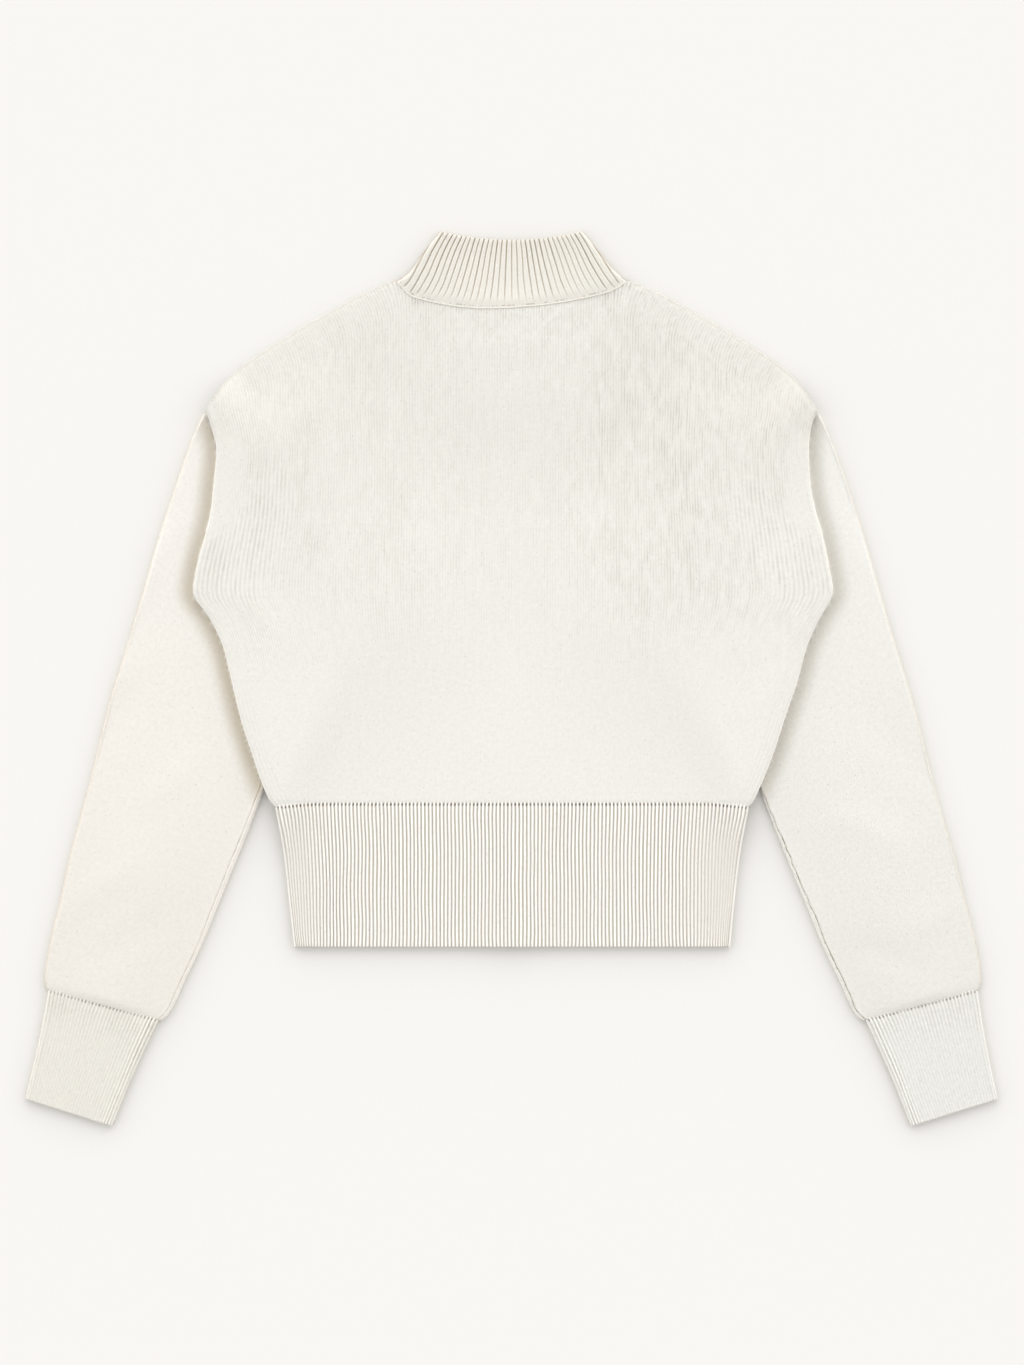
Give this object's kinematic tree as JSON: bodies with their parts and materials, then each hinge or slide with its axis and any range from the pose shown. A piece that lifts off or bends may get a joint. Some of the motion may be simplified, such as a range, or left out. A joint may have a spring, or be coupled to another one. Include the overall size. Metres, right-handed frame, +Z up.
{
  "type": "mock-neck zip cardigan, laid flat with its back facing up",
  "caption": "Cropped knitted cardigan with a ribbed mock neck, drop shoulders, long sleeves, ribbed cuffs, a deep ribbed waistband and a front zip, laid flat on its front.",
  "frame": {"origin": "centre of the whole outline on the surface that the garment lies on, under its front", "axes": "+X across the garment towards the right of the picture, +Y from hem to neck, +Z up from the surface, the side on which the garment's back faces"},
  "size_m": [0.7786, 0.7158, 0.0097],
  "materials": {
    "knit_body": "matte fine rib knit",
    "knit_sleeve": "matte fine plain knit",
    "knit_rib": "matte 2 by 1 rib knit",
    "zip_tape": "woven twill tape",
    "zip_metal": "satin nickel"
  },
  "bodies": {
    "cardigan": {"back": "knit_body", "front_left": "knit_body", "front_right": "knit_body", "sleeve_left": "knit_sleeve", "sleeve_right": "knit_sleeve", "cuff_left": "knit_rib", "cuff_right": "knit_rib", "waistband": "knit_rib", "collar": "knit_rib", "zip_tape_left": "zip_tape", "zip_tape_right": "zip_tape", "zip_chain": "zip_metal", "zip_box": "zip_metal", "zip_slider": "zip_metal"},
    "pull_tab": {"zip_pull_tab": "zip_metal"}
  },
  "joints": [
    {"name": "pull_tab_swing", "type": "hinge", "parent": "cardigan", "child": "pull_tab", "pos_m": [0, 0.282, 0.00175], "axis": [1, 0, 0], "range_deg": [0, 170]}
  ]
}
